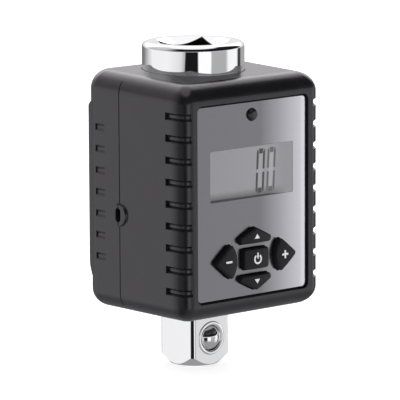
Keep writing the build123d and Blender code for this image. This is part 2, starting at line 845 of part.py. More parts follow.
# Cell cover, flush with the raised pad, with two sunk screw seats
with BuildPart() as battery_cover:
    with BuildSketch(backing(cover_inside)):
        with Locations((0, cover_centre)):
            RectangleRounded(cover_width, cover_height, cover_corner - cover_gap)
    extrude(amount=2 * shell_wall)
    add(rear_form.part, mode=Mode.INTERSECT)
    with BuildSketch(backing(cover_screw_seat)):
        with Locations(*cover_screw_points):
            Circle(screw_head_radius + screw_clearance)
    extrude(amount=shell_wall, mode=Mode.SUBTRACT)
    with BuildSketch(backing(cover_inside)):
        with Locations(*cover_screw_points):
            Circle(screw_radius + screw_clearance)
    extrude(amount=shell_wall, mode=Mode.SUBTRACT)
battery_cover.part.label = "battery_cover"
export_step(battery_cover.part, "parts/battery_cover.step")

# Front panel: a thin metal plate with openings for the window, the lamp and the keys
with BuildPart() as front_panel:
    with BuildSketch(facing(recess_floor)):
        with Locations((0, panel_centre)):
            RectangleRounded(panel_width, panel_height, panel_corner)
        with Locations((0, window_centre)):
            RectangleRounded(window_width, window_height, window_corner, mode=Mode.SUBTRACT)
        with Locations((0, lamp_height)):
            Circle(lamp_radius + lamp_clearance, mode=Mode.SUBTRACT)
        with Locations((0, key_centre)):
            for opening in key_openings.values():
                add(opening, mode=Mode.SUBTRACT)
    extrude(amount=panel_thickness)
    face = front_panel.faces().sort_by(Axis.Y)[0]
    chamfer(face.outer_wire().edges(), panel_edge)
front_panel.part.label = "front_panel"
export_step(front_panel.part, "parts/front_panel.step")

# Clear window behind the panel
with BuildPart() as display_window:
    with BuildSketch(facing(recess_floor - window_thickness)):
        with Locations((0, window_centre)):
            Rectangle(window_width + 2 * window_rim - 2 * lip_clearance,
                      window_height + 2 * window_rim - 2 * lip_clearance)
    extrude(amount=window_thickness)
display_window.part.label = "display_window"
export_step(display_window.part, "parts/display_window.step")

# Liquid crystal glass behind the front wall, with its narrower front pane
with BuildPart() as display_glass:
    with BuildSketch(facing(wall_inside - glass_thickness)):
        with Locations((0, window_centre)):
            Rectangle(glass_width, glass_height)
    extrude(amount=glass_thickness / 2)
    with BuildSketch(facing(wall_inside - glass_thickness / 2)):
        with Locations((0, window_centre)):
            Rectangle(glass_width, glass_height - 2 * strip_height)
    extrude(amount=glass_thickness / 2)
display_glass.part.label = "display_glass"
export_step(display_glass.part, "parts/display_glass.step")

# Elastomer contact strips between the board and the glass
with BuildPart() as contact_strips:
    with BuildSketch(facing(board_front)):
        for side in (-1, 1):
            with Locations((0, window_centre + side * (glass_height - strip_height) / 2)):
                Rectangle(strip_width, strip_height)
    extrude(amount=wall_inside - glass_thickness - board_front)
contact_strips.part.label = "contact_strips"
export_step(contact_strips.part, "parts/contact_strips.step")

# Indicator lamp: domed lens with a flange behind the wall and two legs to the board
with BuildPart() as indicator_lamp:
    with BuildSketch(Plane(origin=(0, -wall_inside, lamp_height), x_dir=(1, 0, 0), z_dir=(0, -1, 0))):
        Circle(lamp_radius)
    extrude(amount=panel_face - wall_inside + lamp_rise)
    fillet(indicator_lamp.faces().sort_by(Axis.Y)[0].edges(), lamp_rise - lamp_clearance)
    with BuildSketch(facing(wall_inside - lamp_flange_height)):
        with Locations((0, lamp_height)):
            Circle(lamp_flange_radius)
    extrude(amount=lamp_flange_height)
    with BuildSketch(facing(board_front)):
        for side in (-1, 1):
            with Locations((side * lamp_lead_pitch / 2, lamp_height)):
                Rectangle(lamp_lead, lamp_lead)
    extrude(amount=wall_inside - lamp_flange_height - board_front)
indicator_lamp.part.label = "indicator_lamp"
export_step(indicator_lamp.part, "parts/indicator_lamp.step")


def key_body(name):
    """One key: crowned cap, retaining flange behind the wall, stem and switch plunger."""
    spot = key_switch_spots[name]
    with BuildPart() as key:
        with BuildSketch(facing(wall_inside)):
            with Locations((0, key_centre)):
                add(key_outlines[name])
        extrude(amount=panel_face + key_rise - wall_inside)
        with BuildSketch(facing(wall_inside - key_flange_height)):
            with Locations((0, key_centre)):
                add(key_flanges[name])
        extrude(amount=key_flange_height)
        with Locations((spot[0], key_crown_radius - panel_face - key_rise, key_centre + spot[1])):
            Sphere(key_crown_radius, mode=Mode.INTERSECT)
        front_edges = key.faces().sort_by(Axis.Y)[0].outer_wire().edges()
        fillet(front_edges, key_edge)
        with BuildSketch(facing(stem_end)):
            with Locations((spot[0], key_centre + spot[1])):
                Circle(stem_radius)
        extrude(amount=wall_inside - key_flange_height - stem_end)
        with BuildSketch(facing(switch_face - plunger_dip)):
            with Locations((spot[0], key_centre + spot[1])):
                Circle(plunger_radius)
        extrude(amount=stem_end - switch_face + plunger_dip)
    key.part.label = "key_" + name
    return key.part


for name in key_switch_spots:
    export_step(key_body(name), "parts/key_" + name + ".step")

# Push switches under the keys, each with a well for the plunger
with BuildPart() as key_switches:
    with BuildSketch(facing(board_front)):
        for spot in key_switch_spots.values():
            with Locations((spot[0], key_centre + spot[1])):
                RectangleRounded(switch_size, switch_size, window_corner)
    extrude(amount=switch_height)
    with BuildSketch(facing(switch_face - plunger_dip - key_travel - plunger_clearance)):
        for spot in key_switch_spots.values():
            with Locations((spot[0], key_centre + spot[1])):
                Circle(plunger_radius + plunger_clearance)
    extrude(amount=switch_height, mode=Mode.SUBTRACT)
key_switches.part.label = "key_switches"
export_step(key_switches.part, "parts/key_switches.step")

# Circuit board, notched halfway up both sides
with BuildPart() as circuit_board:
    with BuildSketch(facing(board_back)):
        with Locations((0, board_centre)):
            RectangleRounded(board_width, board_high - board_low, board_corner)
        with Locations((-board_width / 2, board_centre), (board_width / 2, board_centre)):
            Rectangle(2 * board_notch_depth, board_notch_length, mode=Mode.SUBTRACT)
        with Locations(*board_screw_points):
            Circle(screw_radius + screw_clearance, mode=Mode.SUBTRACT)
    extrude(amount=board_thickness)
circuit_board.part.label = "circuit_board"
export_step(circuit_board.part, "parts/circuit_board.step")

# Chips, crystal and capacitors on the back of the board
with BuildPart() as board_chips:
    with BuildSketch(backing(-board_back)):
        with Locations((0, chip_z)):
            Rectangle(chip_size, chip_size)
        with Locations((0, amplifier_z)):
            Rectangle(amplifier_width, amplifier_height)
        with Locations((crystal_x, chip_z)):
            RectangleRounded(crystal_width, crystal_length, crystal_corner)
        with Locations(*[(-crystal_x, chip_z + capacitor_pitch * i) for i in range(capacitor_count)]):
            Rectangle(capacitor_width, capacitor_height)
    extrude(amount=chip_height)
board_chips.part.label = "board_chips"
export_step(board_chips.part, "parts/board_chips.step")


def screw_set(points, seat, tip, label):
    """Slotted screws along the depth: heads behind the seat, points at the tip, at (x, z) points."""
    with BuildPart() as screws:
        with BuildSketch(backing(seat)):
            for x, z in points:
                with Locations((-x, z)):
                    Circle(screw_head_radius)
        extrude(amount=screw_head_height)
        with BuildSketch(backing(tip)):
            for x, z in points:
                with Locations((-x, z)):
                    Circle(screw_radius)
        extrude(amount=seat - tip)
        with BuildSketch(backing(seat + screw_head_height - screw_slot_depth)):
            for x, z in points:
                with Locations((-x, z)):
                    Rectangle(screw_slot_length, screw_slot)
                    Rectangle(screw_slot, screw_slot_length)
        extrude(amount=screw_slot_depth, mode=Mode.SUBTRACT)
    screws.part.label = label
    export_step(screws.part, "parts/" + label + ".step")
    return screws.part


screw_set(shell_screw_points, shell_screw_seat, shell_screw_tip, "shell_screws")
screw_set(board_screw_points, -board_back, -board_back - board_screw_length, "board_screws")
screw_set(cover_screw_points, cover_screw_seat, cover_screw_tip, "cover_screws")

# Buzzer disc on the left wall with its mouth towards the shaft, and its two leads to the board
with BuildPart() as buzzer:
    with BuildSketch(Plane.YZ.offset(-cavity_half)):
        with Locations((buzzer_y, port_height)):
            Circle(buzzer_radius)
    extrude(amount=buzzer_thickness)
    with BuildSketch(Plane.YZ.offset(buzzer_thickness - cavity_half)):
        with Locations((buzzer_y, port_height)):
            Circle(buzzer_mouth_radius)
    extrude(amount=-buzzer_mouth_depth, mode=Mode.SUBTRACT)
    with BuildSketch(facing(-buzzer_y)):
        for side in (-1, 1):
            with Locations((buzzer_thickness / 2 - cavity_half, port_height + side * buzzer_lead_pitch / 2)):
                Circle(buzzer_lead_radius)
    extrude(amount=board_back + buzzer_y)
buzzer.part.label = "buzzer"
export_step(buzzer.part, "parts/buzzer.step")

# Two cells side by side behind the shaft, nubs up
with BuildPart() as cells:
    with BuildSketch(Plane.XY.offset(cell_bottom)):
        with Locations(*cell_points):
            Circle(cell_radius)
    extrude(amount=cell_length - cell_nub)
    chamfer(cells.edges().filter_by(GeomType.CIRCLE), cell_rim)
    with BuildSketch(Plane.XY.offset(cell_top - cell_nub)):
        with Locations(*cell_points):
            Circle(cell_nub_radius)
    extrude(amount=cell_nub)
cells.part.label = "cells"
export_step(cells.part, "parts/cells.step")

# Contact plates above and below each cell, with strips running forward to the board
with BuildPart() as battery_contacts:
    for low in (bay_floor, cell_top):
        with BuildSketch(Plane.XY.offset(low)):
            with Locations(*cell_points):
                Rectangle(contact_width, contact_width)
            for side in (-1, 1):
                with Locations((side * contact_strip_x, -board_back)):
                    Rectangle(contact_strip, cell_y + board_back, align=(Align.CENTER, Align.MIN))
        extrude(amount=contact_thickness)
battery_contacts.part.label = "battery_contacts"
export_step(battery_contacts.part, "parts/battery_contacts.step")


def coil(radius, wire, height, turns):
    """Open wire coil standing on z = 0, with its outside height and mean radius given."""
    rise = height - 2 * wire
    path = Helix(pitch=rise / turns, height=rise, radius=radius)
    with BuildPart() as spring:
        with BuildSketch(Plane(origin=path @ 0, z_dir=path % 0)):
            RegularPolygon(wire, spring_wire_sides)
        sweep(path=path, is_frenet=True)
    return Pos(0, 0, wire) * spring.part


# Springs that press the cells upwards
cell_coil = coil(cell_spring_radius, cell_spring_wire, cell_spring_length, cell_spring_turns)
with BuildPart() as battery_springs:
    for x, y in cell_points:
        add(Pos(x, y, bay_floor + contact_thickness) * cell_coil)
battery_springs.part.label = "battery_springs"
export_step(battery_springs.part, "parts/battery_springs.step")

# Strain gauges on the two flats of the measuring waist
with BuildPart() as strain_gauges:
    with Locations(*[
        (x, side * (waist_flat + gauge_thickness) / 2, waist_middle)
        for x in (-gauge_offset, gauge_offset) for side in (-1, 1)
    ]):
        Box(gauge_width, gauge_thickness, gauge_height)
strain_gauges.part.label = "strain_gauges"
export_step(strain_gauges.part, "parts/strain_gauges.step")

# Protective sleeve round the waist
with BuildPart() as gauge_sleeve:
    with BuildSketch(Plane.XY.offset(waist_middle - sleeve_height / 2)):
        Circle(waist_radius + sleeve_thickness)
        Circle(waist_radius, mode=Mode.SUBTRACT)
    extrude(amount=sleeve_height)
gauge_sleeve.part.label = "gauge_sleeve"
export_step(gauge_sleeve.part, "parts/gauge_sleeve.step")

# Flat cable from the sleeve to the plug on the board
with BuildPart() as gauge_cable:
    with BuildSketch(Plane.YZ.offset(-cable_width / 2)):
        with BuildLine():
            run = Polyline(
                (-waist_radius, waist_middle),
                (-(waist_radius + board_back - plug_reach) / 2, waist_middle),
                (-(waist_radius + board_back - plug_reach) / 2, plug_z),
                (-board_back + plug_reach, plug_z),
            )
            offset(run, cable_thickness, side=Side.LEFT, closed=True)
        make_face()
    extrude(amount=cable_width)
    with BuildSketch(Plane.XY.offset(waist_middle - sleeve_height / 2)):
        Circle(waist_radius + sleeve_thickness)
    extrude(amount=sleeve_height, mode=Mode.SUBTRACT)
gauge_cable.part.label = "gauge_cable"
export_step(gauge_cable.part, "parts/gauge_cable.step")

# Plug of the gauge cable on the back of the board
with BuildPart() as gauge_plug:
    with BuildSketch(backing(-board_back)):
        with Locations((0, plug_z)):
            Rectangle(plug_width, plug_height)
    extrude(amount=plug_reach)
gauge_plug.part.label = "gauge_plug"
export_step(gauge_plug.part, "parts/gauge_plug.step")

# Ring seals in the collar and in the lower journal
with BuildPart() as collar_seal:
    with BuildSketch(Plane.XY.offset(ceiling + seal_depth)):
        Circle(collar_radius + hole_clearance)
        Circle(collar_radius + hole_clearance - seal_thickness, mode=Mode.SUBTRACT)
    extrude(amount=seal_height)
collar_seal.part.label = "collar_seal"
export_step(collar_seal.part, "parts/collar_seal.step")

with BuildPart() as drive_seal:
    with BuildSketch(Plane.XY.offset(body_bottom + (shell_wall - seal_height) / 2)):
        Circle(journal_radius + hole_clearance)
        Circle(journal_radius + hole_clearance - seal_thickness, mode=Mode.SUBTRACT)
    extrude(amount=seal_height)
drive_seal.part.label = "drive_seal"
export_step(drive_seal.part, "parts/drive_seal.step")

# Ball that locks into the socket put on the male drive
with BuildPart() as detent_ball:
    with Locations((0, -ball_centre, ball_height)):
        Sphere(ball_radius)
detent_ball.part.label = "detent_ball"
export_step(detent_ball.part, "parts/detent_ball.step")

# Spring behind the ball
ball_coil = coil(spring_radius, spring_wire, spring_length, spring_turns)
with BuildPart() as detent_spring:
    add(Pos(0, -spring_front, ball_height) * Rot(-90, 0, 0) * ball_coil)
detent_spring.part.label = "detent_spring"
export_step(detent_spring.part, "parts/detent_spring.step")
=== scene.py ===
import math

import bmesh
import bpy
from mathutils import Matrix, Vector


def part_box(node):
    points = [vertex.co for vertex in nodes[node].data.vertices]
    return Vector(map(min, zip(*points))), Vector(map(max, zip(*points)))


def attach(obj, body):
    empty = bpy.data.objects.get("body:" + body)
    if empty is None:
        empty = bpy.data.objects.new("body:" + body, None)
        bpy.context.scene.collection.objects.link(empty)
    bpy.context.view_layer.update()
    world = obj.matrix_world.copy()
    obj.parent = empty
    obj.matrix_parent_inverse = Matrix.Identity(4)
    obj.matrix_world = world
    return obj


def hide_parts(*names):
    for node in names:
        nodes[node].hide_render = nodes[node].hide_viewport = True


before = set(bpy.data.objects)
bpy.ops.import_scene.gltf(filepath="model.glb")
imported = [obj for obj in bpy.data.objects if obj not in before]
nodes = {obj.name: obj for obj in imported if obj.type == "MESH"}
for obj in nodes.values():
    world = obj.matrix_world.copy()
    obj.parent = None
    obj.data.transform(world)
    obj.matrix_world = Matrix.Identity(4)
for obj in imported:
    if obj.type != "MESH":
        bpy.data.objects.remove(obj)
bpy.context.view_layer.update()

# Blender works in metres. A plain size is in millimetres until it is multiplied by mm.
mm = 0.001

# Camera: it stands to the left of the display and a little above it, far away behind a long lens,
# and leans very slightly.
camera_turn = math.radians(41.24)
camera_rise = math.radians(9.43)
camera_roll = math.radians(-0.26)
camera_distance = 999.7 * mm
camera_target = Vector((2.04 * mm, 0, 41.05 * mm))
camera_back = Vector((
    -math.sin(camera_turn) * math.cos(camera_rise),
    -math.cos(camera_turn) * math.cos(camera_rise),
    math.sin(camera_rise),
))
camera_right = Vector((math.cos(camera_turn), -math.sin(camera_turn), 0))
camera_frame = Matrix((camera_right, camera_back.cross(camera_right), camera_back)).transposed()
camera_data = bpy.data.cameras.new("camera")
camera_data.sensor_width = 36
camera_data.lens = 357.5
camera_data.clip_start = 0.05
camera = bpy.data.objects.new("camera", camera_data)
camera.matrix_world = (
    Matrix.Translation(camera_target + camera_back * camera_distance)
    @ (camera_frame @ Matrix.Rotation(camera_roll, 3, "Z")).to_4x4()
)
bpy.context.scene.collection.objects.link(camera)
bpy.context.scene.camera = camera
bpy.context.scene.view_settings.view_transform = "Standard"


# Studio: white paper under the object and a round tent of white cloth, with dark gaps, a bright
# window at the back and an open slot above eye level. Polished metal shows the tent's panels as
# upright bands, so they are laid out by direction, in degrees round from the camera and upwards.
class Field:
    """A value that changes over a surface or a direction: one socket, with sums and products."""

    def __init__(self, tree, socket=None):
        self.tree = tree
        self.socket = socket

    def node(self, kind, settings=None, values=None, output=0):
        """Adds a node: its settings come first, then the values or links of its sockets."""
        node = self.tree.nodes.new(kind)
        for key, value in (settings or {}).items():
            if key == "stops":
                ramp = node.color_ramp
                while len(ramp.elements) < len(value):
                    ramp.elements.new(0.5)
                for element, (position, colour) in zip(ramp.elements, value):
                    element.position = position
                    element.color = colour if isinstance(colour, tuple) else (colour, colour, colour, 1)
            else:
                setattr(node, key, value)
        for key, value in (values or {}).items():
            if isinstance(value, Field):
                self.tree.links.new(value.socket, node.inputs[key])
            else:
                node.inputs[key].default_value = value
        return Field(self.tree, node.outputs[output])

    def maths(self, operation, *others):
        return self.node("ShaderNodeMath", {"operation": operation}, dict(enumerate((self, *others))))

    def __add__(self, other):
        return self.maths("ADD", other)

    def __sub__(self, other):
        return self.maths("SUBTRACT", other)

    def __rsub__(self, other):
        return self * -1 + other

    def __mul__(self, other):
        return self.maths("MULTIPLY", other)

    __radd__ = __add__
    __rmul__ = __mul__

    def size(self):
        return self.maths("ABSOLUTE")

    def step(self, low, high):
        """0 at low, 1 at high and smooth between, whichever of the two is larger."""
        smooth = {"interpolation_type": "SMOOTHSTEP"}
        return self.node("ShaderNodeMapRange", smooth, {0: self, 1: low, 2: high})

    def blend(self, first, second):
        """First colour where this is 0 and second where it is 1."""
        return self.node("ShaderNodeMix", {"data_type": "RGBA"}, {0: self, 6: first, 7: second}, 2)

    def ramp(self, *stops):
        return self.node("ShaderNodeValToRGB", {"stops": stops}, {0: self})

    def dot(self, vector):
        return self.node("ShaderNodeVectorMath", {"operation": "DOT_PRODUCT"}, {0: self, 1: vector}, 1)


def grey(level, tint=1.0):
    """A grey with a little less green in it, and with its blue times the tint."""
    return (level, level * 0.985, level * tint, 1)


tent_bands = (
    (-180, 0.16), (-150, 0.20), (-140, 0.28), (-118, 0.70), (-104, 0.96), (-60, 0.98),
    (-33, 0.84), (-25.5, 0.74), (-24, 0.60), (-19.5, 0.54), (-18, 0.01), (10.5, 0.01),
    (12, 1.1), (39.5, 1.1), (41.5, 0.46), (78, 0.46), (86, 1.0), (114, 1.05),
    (120, 0.05), (129, 0.04), (136, 0.42), (180, 0.40),
)
tent_floor, floor_edge = 0.34, (-18, -40)
tent_wall, wall_edge = 0.86, (0, 6)
tent_roof, roof_edge = 1.06, (14, 34)
back_window, window_sill, window_head, window_jambs = 2.3, (13, 20), (50, 35), (125, 150)
slot_dark, slot_sill, slot_head = 0.012, (6, 10), (66, 58)
slot_left, slot_middle, slot_right = (-130, -112), (-80, -35), (142, 128)
slot_left_share, slot_middle_share = 0.4, 0.6
world = bpy.data.worlds.new("studio")
world.use_nodes = True
bpy.context.scene.world = world
sky = Field(world.node_tree)
way = sky.node("ShaderNodeTexCoord")
forward = way.dot((-math.sin(camera_turn), -math.cos(camera_turn), 0))
sideways = way.dot((math.cos(camera_turn), -math.sin(camera_turn), 0))
bearing = sideways.maths("ARCTAN2", forward) * math.degrees(1)
height = way.dot((0, 0, 1)).maths("ARCSINE") * math.degrees(1)
tent_stops = [(angle / 360 + 0.5, value) for angle, value in tent_bands]
bands = (bearing * (1 / 360) + 0.5).ramp(*tent_stops)
slot_width = bearing.step(*slot_left) * slot_left_share + bearing.step(*slot_middle) * slot_middle_share
slot_open = height.step(*slot_sill) * height.step(*slot_head) * (slot_width * bearing.step(*slot_right))
window_open = height.step(*window_sill) * height.step(*window_head) * bearing.size().step(*window_jambs)
light = height.step(*floor_edge).blend(bands, grey(tent_floor))
light = height.step(*wall_edge).blend(light, grey(tent_wall))
light = height.step(*roof_edge).blend(light, grey(tent_roof))
light = window_open.blend(light, grey(back_window))
light = slot_open.blend(light, grey(slot_dark))
world.node_tree.links.new(light.socket, world.node_tree.nodes["Background"].inputs[0])

floor_mesh = bmesh.new()
bmesh.ops.create_grid(floor_mesh, x_segments=1, y_segments=1, size=3)
floor_data = bpy.data.meshes.new("floor")
floor_mesh.to_mesh(floor_data)
floor_mesh.free()
floor = bpy.data.objects.new("floor", floor_data)
bpy.context.scene.collection.objects.link(floor)
floor.visible_glossy = False


class Finish:
    """A surface finish: a material whose shader sockets are set by value or fed by a field."""

    def __init__(self, name, **sockets):
        self.material = bpy.data.materials.new(name)
        self.material.use_nodes = True
        self.tree = self.material.node_tree
        self.shader = self.tree.nodes["Principled BSDF"]
        self.start = Field(self.tree)
        self.place = self.start.node("ShaderNodeTexCoord", output=3)
        for key, value in sockets.items():
            socket = key.replace("_", " ").title().replace("Ior", "IOR")
            self.shader.inputs[socket].default_value = value

    def axes(self):
        """Object coordinates in millimetres, one field for each axis."""
        parts = self.start.node("ShaderNodeSeparateXYZ", values={0: self.place})
        outputs = parts.socket.node.outputs
        return [Field(self.tree, outputs[i]) * 1000 for i in range(3)]

    def grain(self, size, detail=2.0, stretch=(1, 1, 1)):
        """Soft random field between 0 and 1 with patches of about the given size."""
        where = self.start.node("ShaderNodeMapping", values={0: self.place, 3: stretch})
        return self.start.node("ShaderNodeTexNoise", values={0: where, 2: 1 / size, 3: detail})

    def feed(self, socket, field):
        self.tree.links.new(field.socket, self.shader.inputs[socket])

    def raise_by(self, field, height, strength=1.0):
        """Bumps the surface by the field times the height."""
        bump = self.start.node("ShaderNodeBump", values={0: strength, 1: height, "Height": field})
        self.feed("Normal", bump)

    def cover(self, *names):
        """Puts the finish on CAD nodes in place of their own materials."""
        for name in names:
            slots = nodes[name].data.materials
            slots.clear()
            slots.append(self.material)


paper = Finish("white_paper", base_color=(0.93, 0.93, 0.935, 1), roughness=0.95, specular_ior_level=0.1,
               emission_color=(1, 1, 1, 1), emission_strength=0.62)
paper.raise_by(paper.grain(4 * mm), 0.02 * mm)
floor_data.materials.append(paper.material)

fill_place = Vector((-0.55, -1.0, 0.85))
fill_light = bpy.data.lights.new("fill_front", "AREA")
fill_light.shape = "RECTANGLE"
fill_light.size = 0.9
fill_light.size_y = 0.9
fill_light.energy = 9.0
fill = bpy.data.objects.new("fill_front", fill_light)
fill.location = fill_place
fill.rotation_euler = (camera_target - fill_place).to_track_quat("-Z", "Y").to_euler()
fill.visible_camera = False
fill.visible_glossy = False
bpy.context.scene.collection.objects.link(fill)

# Housing shells and cell cover: injection moulded in charcoal plastic whose mould was spark
# eroded, so the skin is finely pebbled with a low sheen. Down both front corners the skin is
# painted darker and given less of that sheen: painted shade for the dark reflection these
# rounded corners show.
charcoal = Finish("charcoal_plastic", specular_ior_level=0.64, specular_tint=(1, 0.95, 1.03, 1))
rubbed = charcoal.grain(9 * mm, 3)
charcoal.feed("Base Color", rubbed.step(0.35, 0.7).blend(grey(0.0075, 1.1), grey(0.0095, 1.1)))
charcoal.feed("Roughness", rubbed * 0.08 + charcoal.grain(0.5 * mm) * 0.06 + 0.18)
charcoal.raise_by(charcoal.grain(0.28 * mm, 3), 0.02 * mm, 0.5)
# Painted shade down both front corners: a darker skin with less sheen, mixed in there.
corner_shade_skin = charcoal.start.node("ShaderNodeBsdfPrincipled", values={
    "Base Color": charcoal.grain(4 * mm, 2).blend(grey(0.006, 1.1), grey(0.009, 1.1)),
    "Roughness": charcoal.grain(0.5 * mm) * 0.1 + 0.2,
    "Specular IOR Level": 0.1,
})
corner_shade_share = 0.9
corner_shade_behind_front = (6.0, 1.5)
corner_shade_within_side = (-1.8, -0.6)
shell_low, shell_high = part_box("front_shell")
x, y, z = charcoal.axes()
near_front = (y - shell_low[1] / mm).step(*corner_shade_behind_front)
near_side = (x.size() - shell_high[0] / mm).step(*corner_shade_within_side)
skin = charcoal.start.node("ShaderNodeMixShader", values={
    0: near_front * near_side * corner_shade_share,
    1: Field(charcoal.tree, charcoal.shader.outputs[0]),
    2: corner_shade_skin,
})
charcoal.tree.links.new(skin.socket, charcoal.tree.nodes["Material Output"].inputs[0])
charcoal.cover("front_shell", "rear_shell", "battery_cover")

# Torque shaft: turned and milled from alloy steel, polished and chrome plated. Down the square
# socket below its cone the colour is painted near black and dull: painted shade for the deep
# shadow in the socket. The CAD shaft is used as it is, but with its top turned, because the
# photograph shows the socket turned that way.
merge_reach = 0.0005 * mm
real_edge = math.radians(25)


def copied(name):
    """A merged copy of a CAD node's mesh, smooth but for its real edges."""
    mesh = bmesh.new()
    mesh.from_mesh(nodes[name].data)
    bmesh.ops.remove_doubles(mesh, verts=mesh.verts, dist=merge_reach)
    for face in mesh.faces:
        face.smooth = True
    for edge in mesh.edges:
        edge.smooth = edge.calc_face_angle(0) < real_edge
    return mesh


def piece(name, mesh, body, finish, replaced=(), rounded=False):
    """Turns a bmesh into a finished piece that rides on its body."""
    data = bpy.data.meshes.new(name)
    mesh.to_mesh(data)
    mesh.free()
    made = bpy.data.objects.new(name, data)
    bpy.context.scene.collection.objects.link(made)
    data.materials.append(finish.material)
    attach(made, body)
    if replaced:
        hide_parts(*replaced)
    if replaced or rounded:
        flats = made.modifiers.new("flat_faces", "WEIGHTED_NORMAL")
        flats.keep_sharp = True
        flats.weight = 100


chrome = Finish("chrome", metallic=1.0)
socket_turn = math.radians(-10)
socket_turn_cad = math.radians(10)
socket_half = 6.63
socket_edge = 0.04
shaft_shoulder = 60
x, y, z = chrome.axes()
turned_x = x * math.cos(socket_turn) + y * math.sin(socket_turn)
turned_y = y * math.cos(socket_turn) - x * math.sin(socket_turn)
from_middle = turned_x.size().maths("MAXIMUM", turned_y.size())
in_square = from_middle.step(socket_half + socket_edge, socket_half)
# Painted shade: the socket below its cone is painted near black and dull.
socket_painted_shade = in_square * z.step(shaft_shoulder, shaft_shoulder + 1)
chrome.feed("Base Color", socket_painted_shade.blend((0.90, 0.90, 0.915, 1), (0.05, 0.047, 0.043, 1)))
chrome.feed("Roughness", socket_painted_shade * 0.35 + chrome.grain(5 * mm, 4) * 0.03 + 0.02)
chrome.raise_by(chrome.grain(7 * mm, 2), 0.01 * mm, 0.3)
shaft = copied("torque_shaft")
shaft_top = [vert for vert in shaft.verts if vert.co.z > shaft_shoulder * mm]
bmesh.ops.rotate(shaft, verts=shaft_top, cent=(0, 0, 0),
                 matrix=Matrix.Rotation(socket_turn - socket_turn_cad, 3, "Z"))
piece("turned_torque_shaft", shaft, "housing", chrome, ["torque_shaft"])

# Detent ball: hardened steel, ground and lapped, loose in a bore in the front of the square drive,
# where a spring pushes it out against the rolled lip of the bore.
lapped = Finish("lapped_steel", metallic=1.0)
lapped_patches = lapped.grain(1.2 * mm, 3).step(0.3, 0.7)
lapped.feed("Base Color", lapped_patches.blend((0.86, 0.86, 0.87, 1), (0.90, 0.90, 0.91, 1)))
lapped.feed("Roughness", lapped.grain(0.8 * mm, 3) * 0.05 + 0.03)
lapped.raise_by(lapped.grain(0.3 * mm, 2), 0.002 * mm, 0.4)
lapped.cover("detent_ball")

# Lip of the ball's bore: steel of the shaft, rolled inwards over the ball to hold it and chromed
# with the rest, so that it stands out from the drive's face as a low bright ring.
ball_stands_out = 1.5 * mm
lip_inner, lip_outer = 3.32, 4.28
lip_rise, lip_round = 0.12, 0.1
lip_inner_depth, lip_outer_depth = 0.5, 0.3
ball_low, ball_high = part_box("detent_ball")
ball_height = (ball_low[2] + ball_high[2]) / 2
drive_face = ball_low[1] + ball_stands_out
lip_profile = (
    (lip_inner, lip_inner_depth), (lip_inner, lip_round - lip_rise),
    (lip_inner + lip_round, -lip_rise), (lip_outer - lip_round, -lip_rise),
    (lip_outer, lip_round - lip_rise), (lip_outer, lip_outer_depth),
)
lip = bmesh.new()
lip_verts = [
    lip.verts.new((reach * mm, drive_face + depth * mm, ball_height)) for reach, depth in lip_profile
]
lip_edges = [lip.edges.new(pair) for pair in zip(lip_verts, lip_verts[1:] + lip_verts[:1])]
bmesh.ops.spin(lip, geom=lip_verts + lip_edges, cent=(0, 0, ball_height), axis=(0, 1, 0),
               angle=2 * math.pi, steps=96, use_merge=True)
bmesh.ops.recalc_face_normals(lip, faces=lip.faces)
for face in lip.faces:
    face.smooth = True
piece("ball_lip_ring", lip, "housing", chrome, rounded=True)

# Springs: coils of hard drawn steel wire. A small one lies behind the ball in the drive, and one
# stands under each cell.
drawn_wire = Finish("drawn_spring_wire", metallic=1.0)
wire_patches = drawn_wire.grain(0.7 * mm, 3)
drawn_wire.feed("Base Color", wire_patches.blend((0.42, 0.41, 0.39, 1), (0.62, 0.61, 0.58, 1)))
drawn_wire.feed("Roughness", drawn_wire.grain(0.3 * mm, 2) * 0.2 + 0.22)
drawn_wire.raise_by(drawn_wire.grain(0.12 * mm, 2), 0.004 * mm)
drawn_wire.cover("detent_spring", "battery_springs")

# Seals: two black nitrile rings, moulded and slipped over the shaft, one round the collar and one
# round the lower journal.
nitrile = Finish("nitrile_rubber", specular_ior_level=0.35)
nitrile.feed("Base Color", nitrile.grain(1.5 * mm, 3).blend(grey(0.010), grey(0.020)))
nitrile.feed("Roughness", nitrile.grain(0.6 * mm, 2) * 0.2 + 0.5)
nitrile.raise_by(nitrile.grain(0.2 * mm, 3), 0.01 * mm)
nitrile.cover("collar_seal", "drive_seal")

# Front panel: rolled aluminium sheet, anodised satin and punched for the window, lamp and keys.
# Rolling leaves fine level lines. Its colour is painted from dark at the left to light at the
# right: a painted reflection.
# The CAD panel is used, but with its key holes moved and narrowed as the keys are further down.
satin = Finish("satin_aluminium", metallic=1.0)
panel_low, panel_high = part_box("front_panel")
panel_face = panel_low[1]
panel_middle = (panel_low[0] + panel_high[0]) / 2 / mm
panel_width = (panel_high[0] - panel_low[0]) / mm
panel_tint = 1.06
# Painted reflection: grey level of the panel's colour at places across it, in millimetres.
panel_reflection_levels = (
    (-18.0, 0.26), (2.9, 0.26), (3.7, 0.29), (6.0, 0.36),
    (9.0, 0.46), (12.5, 0.60), (15.8, 0.72), (17.2, 0.90),
)
panel_reflection_stops = [
    ((place - panel_middle) / panel_width + 0.5, grey(level, panel_tint))
    for place, level in panel_reflection_levels
]
x, y, z = satin.axes()
painted_reflection = ((x - panel_middle) * (1 / panel_width) + 0.5).ramp(*panel_reflection_stops)
rolled = satin.grain(0.5 * mm, 3, (0.03, 1, 1))
satin.feed("Base Color", (rolled * 0.03).blend(painted_reflection, grey(0.10, panel_tint)))
satin.feed("Roughness", rolled * 0.05 + 0.20)
satin.raise_by(rolled, 0.0006 * mm, 0.2)

key_centre = 29.4
side_key_middle = 9.58
lower_key_drop = 0.1
plus_key_height = 0.97
key_width = {"power": 0.893, "upper": 0.99, "lower": 0.97, "plus": 0.885, "minus": 0.885}
key_shift = {"power": 0.42, "upper": 0.27, "lower": 0.3, "plus": 0.42, "minus": 0.42}
holes_half_height, holes_half_width = 8.5, 15
side_holes_from = 5.75
power_hole_half_height = 3.3


